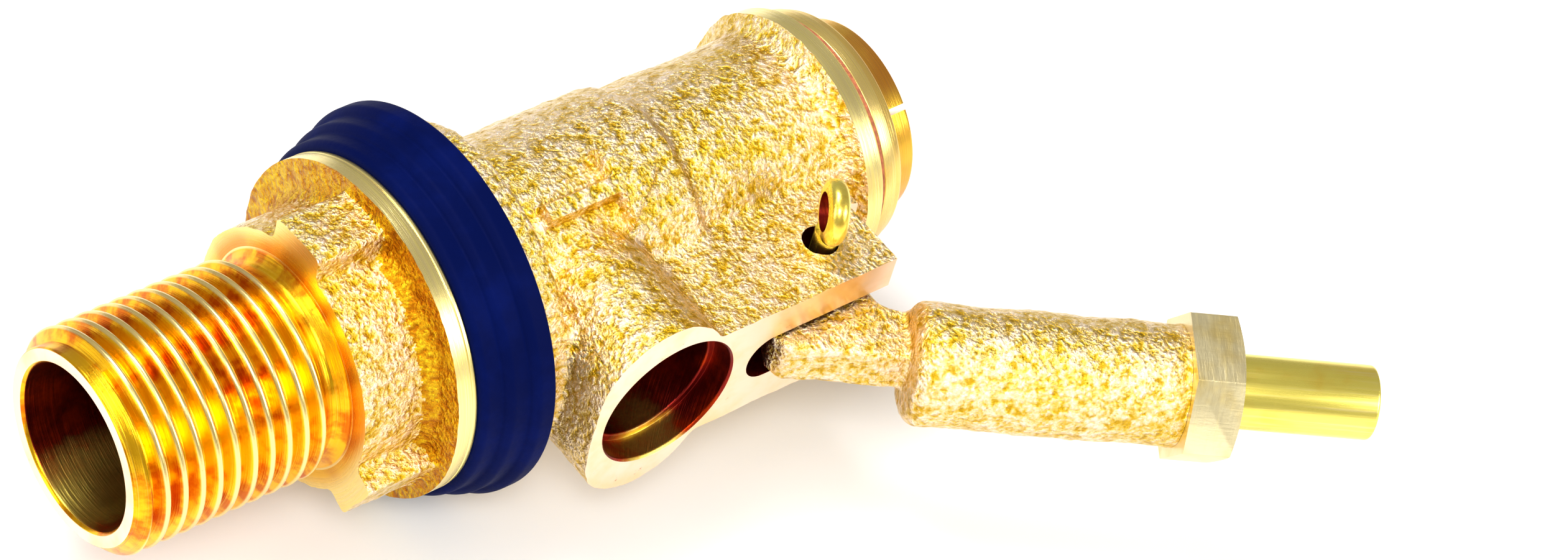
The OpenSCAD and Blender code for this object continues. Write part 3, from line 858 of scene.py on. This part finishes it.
def make_body():
    body = casting("body_casting", build_body, 10, 1.0, arrow_mark)
    cut(body, shape("stock", "cut_brass", build_body_stock), "INTERSECT")
    rim = [
        (BODY_END_X - RIM_T - 0.1, RIM_R + 0.04), (BODY_END_X - RIM_T, RIM_R), (BODY_END_X - 0.25, RIM_R),
        (BODY_END_X + 0.05, RIM_R - 0.3), (BODY_END_X + 5, RIM_R - 0.3), (BODY_END_X + 5, RIM_R + 4),
        (BODY_END_X - RIM_T - 0.1, RIM_R + 4)]
    cut(body, shape("rim", "bright_brass", lambda bm: lathe(bm, rounded(rim, 0.02))))
    ear_x = PIN.x + EAR_REACH
    cut(body, shape("ear_end", "cut_brass", lambda bm: block(
        bm, (ear_x, OUTLET.y - 5, -20), (ear_x + 10, -RIM_R - 0.35, 20))))
    round_x = PIN.x - SLOT_REACH + SLOT_W / 2

    def slot(bm):
        arc = [math.pi * (0.5 + step / 16) for step in range(17)]
        outline = [(round_x + SLOT_W / 2 * math.cos(a), SLOT_W / 2 * math.sin(a)) for a in arc]
        outline += [(ear_x + 0.6, -SLOT_W / 2), (ear_x + 0.6, SLOT_W / 2)]
        slab(bm, outline, 0.0, 5.0 - OUTLET.y)
        bmesh.ops.rotate(bm, verts=bm.verts, cent=(0, 0, 0),
                         matrix=Matrix.Rotation(math.pi / 2, 3, "X"))
    # painted shade: the slot, the waterway, the mouth and the pin hole take the dark bore finish
    cut(body, shape("slot", "bore_shade_brass", slot))
    spigot_end = high("inlet_tail", X) + 0.1
    waterway = [
        (BODY_X - 5, 0.0), (BODY_X - 5, SPIGOT_R + 0.05, 0.0), (spigot_end, SPIGOT_R + 0.05),
        (spigot_end, CHAMBER_R), (BODY_END_X - 3, CHAMBER_R), (BODY_END_X - 3, CAP_THREAD_R + 0.03),
        (BODY_END_X + 5, CAP_THREAD_R + 0.03, 0.0), (BODY_END_X + 5, 0.0),
    ]
    cut(body, shape("waterway", "bore_shade_brass", lambda bm: lathe(bm, rounded(waterway, 0.1), steps=96)))
    quarter = Matrix.Translation((OUTLET.x, 0, 0)) @ Matrix.Rotation(-math.pi / 2, 4, "Z")
    ledge = -OUTLET.y - OUTLET_DEPTH
    mouth = [
        (2.0, 0.0), (2.0, PASSAGE_R, 0.0), (ledge, PASSAGE_R, 0.25), (ledge, OUTLET_R, 0.05),
        (-OUTLET.y - 0.2, OUTLET_R, 0.1), (-OUTLET.y + 0.3, OUTLET_R + 0.5, 0.0),
        (-OUTLET.y + 3, OUTLET_R + 0.5, 0.0), (-OUTLET.y + 3, 0.0),
    ]
    cut(body, shape("mouth", "bore_shade_brass",
                    lambda bm: lathe(bm, rounded(mouth, 0.1), quarter, steps=96)))
    cut(body, shape("pin_hole", "bore_shade_brass", lambda bm: bar(
        bm, (PIN.x, PIN.y, -EAR_T), (PIN.x, PIN.y, EAR_T), PIN_HOLE_R, segments=48)))
    finish(body, "root", "cast_brass", "valve_body")


# ---------------------------------------------------------------- end cap and inner pieces

CAP_STEP_R = 9.7
CAP_FLANGE_T = 2.4
CAP_SLOT_ANGLE = 41.0
CAP_SLOT_W = 0.6
CAP_SLOT_DEPTH = 2.2


def make_end_cap():
    edge = sizes().edge / MM
    step_x = CAP_X + CAP_FLANGE_T
    bottom = low("end_cap", X)
    outline = [
        (bottom, 6.8), (bottom, CAP_THREAD_R, 0.4), (CAP_X, CAP_THREAD_R, 0.05), (CAP_X, CAP_R, edge),
        (CAP_X + 1.35, CAP_R, 0.06), (CAP_X + 1.42, CAP_R - 0.28, 0.06), (step_x, CAP_R - 0.34, 0.3),
        (step_x, CAP_STEP_R + 0.25, 0.2), (step_x + 0.25, CAP_STEP_R, 0.2),
        (CAP_END_X, CAP_STEP_R, 0.35), (CAP_END_X, 0.0), (CAP_X, 0.0), (CAP_X, 6.8),
    ]
    cap = shape("end_cap_turned", "bright_brass",
                lambda bm: lathe(bm, rounded(outline[-2:] + outline[:-2], edge)[::-1]))
    turn = Matrix.Rotation(math.radians(CAP_SLOT_ANGLE), 4, "X")
    cut(cap, shape("cap_slot", "cut_brass", lambda bm: block(
        bm, (CAP_END_X - CAP_SLOT_DEPTH, -CAP_SLOT_W / 2, -15),
        (CAP_END_X + 5, CAP_SLOT_W / 2, 15), turn)))
    finish(cap, "root", "turned_brass", "end_cap")


def dress_inner_pieces():
    """The inner CAD pieces keep their shape, and get their finish."""
    looks = {
        "seat_joint": "fibre", "seat_nozzle": "bright_brass", "washer_cap": "turned_brass",
        "plunger_washer": "rubber", "plunger": "turned_brass", "cap_joint": "fibre",
    }
    for node, finish_name in looks.items():
        piece = frame["nodes"][node]
        piece.data.materials.clear()
        piece.data.materials.append(material(finish_name))


# ---------------------------------------------------------------- lever, pin, nut and rod

ARM_LEAN = 10.0
ARM_LEN = 14.0
TIP_R = 2.2
BLADE_T = 4.6
LEVER_EYE_R = 5.4
SOCKET_R = 5.7
SOCKET_START = 8.7
SOCKET_Y = ROD_LOCAL.y
NUT_T = 4.9
NUT_AF = 13.0
NUT_TURN = 6.0
NUT_END = ROD_LOCAL.x - ROD_OUT
SOCKET_END = NUT_END - NUT_T


def build_lever(bm):
    """The lever with its socket level and the pin at the origin."""
    half = BLADE_T / 2
    low_edge = SOCKET_Y - 1.4
    lean = math.radians(ARM_LEAN) - DROOP
    tip = Vector((math.sin(lean), math.cos(lean), 0)) * ARM_LEN
    side = Vector((math.cos(lean), -math.sin(lean), 0))
    bar(bm, (0, 0, -half), (0, 0, half), LEVER_EYE_R)
    bar(bm, tip - Vector((0, 0, half)), tip + Vector((0, 0, half)), TIP_R)
    arm = [-side * LEVER_EYE_R * 0.98, side * LEVER_EYE_R * 0.98, tip + side * TIP_R, tip - side * TIP_R]
    slab(bm, arm, -half, half)
    blade = [(-5.2, 1.5), (5.2, 1.2), (5.4, -1.6), (6.4, -3.1), (8.0, -3.7), (11.5, -3.9),
             (11.5, low_edge), (-2.9, low_edge), (-4.1, low_edge + 1.4)]
    slab(bm, blade, -half, half)
    bar(bm, (SOCKET_START, SOCKET_Y, 0), (SOCKET_START + 1.0, SOCKET_Y, 0), SOCKET_R - 0.9, SOCKET_R)
    bar(bm, (SOCKET_START + 1.0, SOCKET_Y, 0), (SOCKET_END + 1.2, SOCKET_Y, 0), SOCKET_R)


def make_lever():
    lever = casting("lever_casting", build_lever, 8, 0.8)
    wide = 40
    cut(lever, shape("face", "cut_brass", lambda bm: block(
        bm, (SOCKET_END, -wide, -wide), (wide * 2, wide, wide))))
    # painted shade: the rod socket and the pin hole take the dark bore finish
    socket = [
        (SOCKET_END - 18, 0.0), (SOCKET_END - 18, ROD_THREAD_R + 0.03),
        (SOCKET_END - 0.4, ROD_THREAD_R + 0.03),
        (SOCKET_END + 2, ROD_R + 2.4, 0.0), (SOCKET_END + 2, 0.0)]
    cut(lever, shape("socket", "bore_shade_brass", lambda bm: lathe(
        bm, rounded(socket, 0.05), Matrix.Translation((0, SOCKET_Y, 0)), steps=72)))
    cut(lever, shape("hole", "bore_shade_brass", lambda bm: bar(
        bm, (0, 0, -5), (0, 0, 5), PIN_HOLE_R, segments=48)))
    lever.data.transform(LEVER_PLACE)
    finish(lever, "lever_arm", "cast_brass", "lever")


def make_lock_nut():
    """A hexagon, chamfered on its outer face."""
    corner = NUT_AF / 2 / math.cos(math.radians(30))
    rise = (corner - NUT_AF / 2) * 0.85

    def hexagon(bm):
        bar(bm, (SOCKET_END + 0.02, 0, 0), (NUT_END, 0, 0), corner, segments=6)
        bmesh.ops.rotate(bm, verts=bm.verts, cent=(0, 0, 0),
                         matrix=Matrix.Rotation(math.radians(NUT_TURN + 30), 3, "X"))
        bmesh.ops.bevel(bm, geom=[edge for edge in bm.edges if abs((
            edge.verts[0].co - edge.verts[1].co).normalized().x) > 0.9], offset=0.15, segments=2,
            affect="EDGES", profile=0.5, material=-1)

    def chamfer(bm):
        outline = [
            (SOCKET_END - 1, ROD_THREAD_R + 0.03, 0.0), (SOCKET_END - 1, corner + 1, 0.0),
            (NUT_END - rise * 0.62, corner + 0.4, 0.0), (NUT_END, NUT_AF / 2 - 0.35, 0.12),
            (NUT_END, ROD_R + 0.55, 0.1), (NUT_END - 0.7, ROD_THREAD_R + 0.03, 0.1)]
        lathe(bm, rounded(outline, 0.1), steps=120)
    nut = shape("lock_nut_hexagon", "nut_brass", hexagon)
    cut(nut, shape("chamfer", "nut_brass", chamfer), "INTERSECT")
    nut.data.transform(LEVER_PLACE @ Matrix.Translation((0, SOCKET_Y, 0)))
    finish(nut, "lever_arm", "nut_brass", "lock_nut", angle=20.0)


def make_float_rod():
    start = SOCKET_END - 18 + 0.02
    end = ROD_LOCAL.x
    outline = [
        (start, 0.0), (start, ROD_THREAD_R, 0.6), (NUT_END + 0.15, ROD_THREAD_R, 0.02),
        (NUT_END + 0.15, ROD_R, 0.2), (end, ROD_R, 0.35), (end, 0.0)]
    rod = shape("float_rod_bar", "rod_brass", lambda bm: lathe(bm, rounded(outline, 0.3), steps=96))
    rod.data.transform(LEVER_PLACE @ Matrix.Translation((0, SOCKET_Y, 0)))
    finish(rod, "lever_arm", "rod_brass", "float_rod")


PIN_R = 1.2
EYE_TURN = 32.0
EYE_RISE = 3.95
EYE_R = 3.1
EYE_W = 1.9
EYE_T = 1.25
PIN_SHIFT = Vector((0.3, -0.25, 0.0))     # the pin rests against one side of its hole
LEG_OUT = 0.6
LEG_BEND = 2.4
LEG_ANGLE = 50.0


def only(geometry, kind):
    """The items of one kind among an operator's results."""
    return [item for item in geometry if isinstance(item, kind)]


def push(bm, face, way):
    """Draws a face out along a straight way, and returns the face at its end."""
    out = bmesh.ops.extrude_face_region(bm, geom=[face])["geom"]
    bmesh.ops.translate(bm, vec=way, verts=only(out, bmesh.types.BMVert))
    return only(out, bmesh.types.BMFace)[0]


def swing(bm, face, centre, angle, steps):
    """Draws a face out along an arc about X, and returns the face at its end."""
    out = bmesh.ops.spin(bm, geom=[face], cent=centre, axis=(1, 0, 0), angle=angle, steps=steps)
    bmesh.ops.delete(bm, geom=[face], context="FACES_ONLY")
    return only(out["geom_last"], bmesh.types.BMFace)[0]


def half_round(bm, side, radius, place_z):
    """The wire's section: half a disc on one side of the plane Y = 0, lying level."""
    steps = 12
    arc = [math.pi * step / steps for step in range(steps + 1)]
    points = [Vector((radius * math.cos(a), side * (0.03 + (radius - 0.03) * math.sin(a)), place_z))
              for a in arc]
    return bm.faces.new([bm.verts.new(point) for point in points])


def build_leg(bm, side):
    """A straight leg from the eye down through both ears, with its end bent outwards."""
    foot = -EAR_T / 2 - LEG_OUT
    top = EAR_T / 2 + EYE_RISE - EYE_R + PIN_R * 0.6
    fold = math.radians(LEG_ANGLE)
    last = push(bm, half_round(bm, side, PIN_R, top), (0, 0, foot - top))
    bend = 0.5
    tip = swing(bm, last, (0, side * (PIN_R + bend), foot), side * fold, 10)
    push(bm, tip, Vector((0, side * math.sin(fold), -math.cos(fold))) * (LEG_BEND - bend))


def build_eye(bm):
    """The eye: the same wire, led round, flat inside and round outside."""
    half_width = EYE_W / 2
    inner = EYE_R - EYE_T
    steps = 14
    outline = []
    for step in range(steps + 1):
        a = math.pi * step / steps
        outline.append((-half_width * math.cos(a), inner + EYE_T * math.sin(a) ** 0.6))
    lathe(bm, outline, Matrix.Translation((0, 0, EAR_T / 2 + EYE_RISE)), steps=64)


def make_split_pin():
    """Two half-round legs in the ears, an eye on top and ends bent outwards below."""
    bm = bmesh.new()
    build_eye(bm)
    for side in (-1, 1):
        build_leg(bm, side)
    bmesh.ops.recalc_face_normals(bm, faces=bm.faces)
    eye = Vector((0, 0, EAR_T / 2 + EYE_RISE))
    # painted shade: faces inside the eye take the dark bore finish
    for face in bm.faces:
        way = face.calc_center_median() - eye
        if math.hypot(way.y, way.z) < EYE_R - EYE_T + 0.05 and way.z > 0.3 - EYE_R:
            face.material_index = 1
    pin = make("split_pin_wire", bm, "wire_brass", "bore_shade_brass")
    turn = Matrix.Rotation(math.radians(-EYE_TURN), 4, "Z")
    pin.data.transform(Matrix.Translation(PIN + PIN_SHIFT) @ turn)
    finish(pin, "root", "brass_wire", "split_pin", angle=45.0)


# ---------------------------------------------------------------- stage

CAMERA_PLACE = Vector((-0.22245, -0.22802, 0.35498))
CAMERA_RIGHT = Vector((0.76499, -0.60767, 0.21339))
CAMERA_UP = Vector((0.34389, 0.66553, 0.66243))
LENS = 124.07
LIT_PLACE = Vector((0.03, -0.015, 0.0))
STUDIO_LIGHTS = (                # name, place, width, height, power
    ("top_box", (-0.05, 0.20, 0.62), 0.36, 0.28, 3.3),
    ("key_box", (-0.34, -0.36, 0.62), 0.30, 0.24, 3.2),
    ("left_box", (-0.60, 0.10, 0.30), 0.30, 0.4, 1.6),
    ("front_box", (0.30, -0.60, 0.36), 0.4, 0.3, 2.8),
)


def area_light(name, place, width, height, power):
    data = bpy.data.lights.new(name, "AREA")
    data.shape = "RECTANGLE"
    data.size, data.size_y = width, height
    data.energy = power
    lamp = bpy.data.objects.new(name, data)
    bpy.context.scene.collection.objects.link(lamp)
    lamp.location = place
    lamp.rotation_euler = (LIT_PLACE - Vector(place)).to_track_quat("-Z", "Y").to_euler()


def make_camera():
    data = bpy.data.cameras.new("camera")
    data.sensor_fit = "HORIZONTAL"
    data.sensor_width = 36.0
    data.lens = LENS
    data.clip_start = 0.01
    camera = bpy.data.objects.new("camera", data)
    bpy.context.scene.collection.objects.link(camera)
    back = CAMERA_RIGHT.cross(CAMERA_UP)
    turn = Matrix((CAMERA_RIGHT, CAMERA_UP, back)).transposed().to_4x4()
    camera.matrix_world = Matrix.Translation(CAMERA_PLACE) @ turn
    bpy.context.scene.camera = camera


def make_stage():
    scene = bpy.context.scene
    scene.view_settings.view_transform = "Standard"
    world = bpy.data.worlds.new("studio")
    world.use_nodes = True
    background = world.node_tree.nodes["Background"]
    background.inputs["Color"].default_value = (0.80, 0.78, 0.75, 1.0)
    background.inputs["Strength"].default_value = 0.52
    scene.world = world
    bm = bmesh.new()
    bmesh.ops.create_grid(bm, x_segments=2, y_segments=2, size=2.0)
    bmesh.ops.translate(bm, verts=bm.verts, vec=(0, 0, CAD_BOX[0][Z]))
    floor = make("floor", bm, "studio_floor")
    for light in STUDIO_LIGHTS:
        area_light(*light)


# ---------------------------------------------------------------- operators

class VALVE_OT_stage(bpy.types.Operator):
    """Add the camera, the floor and the studio lights"""
    bl_idname = "valve.stage"
    bl_label = "Stage"

    def execute(self, context):
        make_camera()
        make_stage()
        return {"FINISHED"}


class VALVE_OT_inlet_tail(bpy.types.Operator):
    """Build the threaded tail with its cast shoulder and turned flange"""
    bl_idname = "valve.inlet_tail"
    bl_label = "Inlet tail"

    def execute(self, context):
        make_inlet_tail()
        return {"FINISHED"}


class VALVE_OT_sealing_ring(bpy.types.Operator):
    """Build the stepped rubber ring"""
    bl_idname = "valve.sealing_ring"
    bl_label = "Sealing ring"

    def execute(self, context):
        make_sealing_ring()
        return {"FINISHED"}


class VALVE_OT_body(bpy.types.Operator):
    """Build the cast body with its machined faces and bores"""
    bl_idname = "valve.body"
    bl_label = "Body"

    def execute(self, context):
        make_body()
        return {"FINISHED"}


class VALVE_OT_end_cap(bpy.types.Operator):
    """Build the turned end cap"""
    bl_idname = "valve.end_cap"
    bl_label = "End cap"

    def execute(self, context):
        make_end_cap()
        return {"FINISHED"}


class VALVE_OT_inner_pieces(bpy.types.Operator):
    """Give the seat, the plunger and the joint washers their finish"""
    bl_idname = "valve.inner_pieces"
    bl_label = "Inner pieces"

    def execute(self, context):
        dress_inner_pieces()
        return {"FINISHED"}


class VALVE_OT_lever(bpy.types.Operator):
    """Build the cast lever"""
    bl_idname = "valve.lever"
    bl_label = "Lever"

    def execute(self, context):
        make_lever()
        return {"FINISHED"}


class VALVE_OT_split_pin(bpy.types.Operator):
    """Build the split pin that the lever turns on"""
    bl_idname = "valve.split_pin"
    bl_label = "Split pin"

    def execute(self, context):
        make_split_pin()
        return {"FINISHED"}


class VALVE_OT_rod(bpy.types.Operator):
    """Build the float rod and its lock nut"""
    bl_idname = "valve.rod"
    bl_label = "Float rod and nut"

    def execute(self, context):
        make_lock_nut()
        make_float_rod()
        return {"FINISHED"}


OPERATORS = (
    VALVE_OT_stage, VALVE_OT_inlet_tail, VALVE_OT_sealing_ring, VALVE_OT_body, VALVE_OT_end_cap,
    VALVE_OT_inner_pieces, VALVE_OT_lever, VALVE_OT_split_pin, VALVE_OT_rod,
)


class VALVE_PT_panel(bpy.types.Panel):
    """Sizes, finishes and the pieces of the valve"""
    bl_label = "Float valve"
    bl_idname = "VALVE_PT_panel"
    bl_space_type = "VIEW_3D"
    bl_region_type = "UI"
    bl_category = "Valve"

    def draw(self, context):
        layout = self.layout
        for group in (context.scene.valve_sizes, context.scene.valve_finishes):
            for name in group.__annotations__:
                layout.prop(group, name)
        for entry in OPERATORS:
            layout.operator(entry.bl_idname)


CLASSES = (ValveSizes, ValveFinishes, *OPERATORS, VALVE_PT_panel)


def register():
    for entry in CLASSES:
        bpy.utils.register_class(entry)
    bpy.types.Scene.valve_sizes = bpy.props.PointerProperty(type=ValveSizes)
    bpy.types.Scene.valve_finishes = bpy.props.PointerProperty(type=ValveFinishes)


def unregister():
    del bpy.types.Scene.valve_finishes
    del bpy.types.Scene.valve_sizes
    for entry in reversed(CLASSES):
        bpy.utils.unregister_class(entry)


def main():
    register()
    valve = bpy.ops.valve
    valve.stage()
    valve.inlet_tail()
    valve.sealing_ring()
    valve.body()
    valve.end_cap()
    valve.inner_pieces()
    valve.lever()
    valve.split_pin()
    valve.rod()


if __name__ == "__main__":
    main()
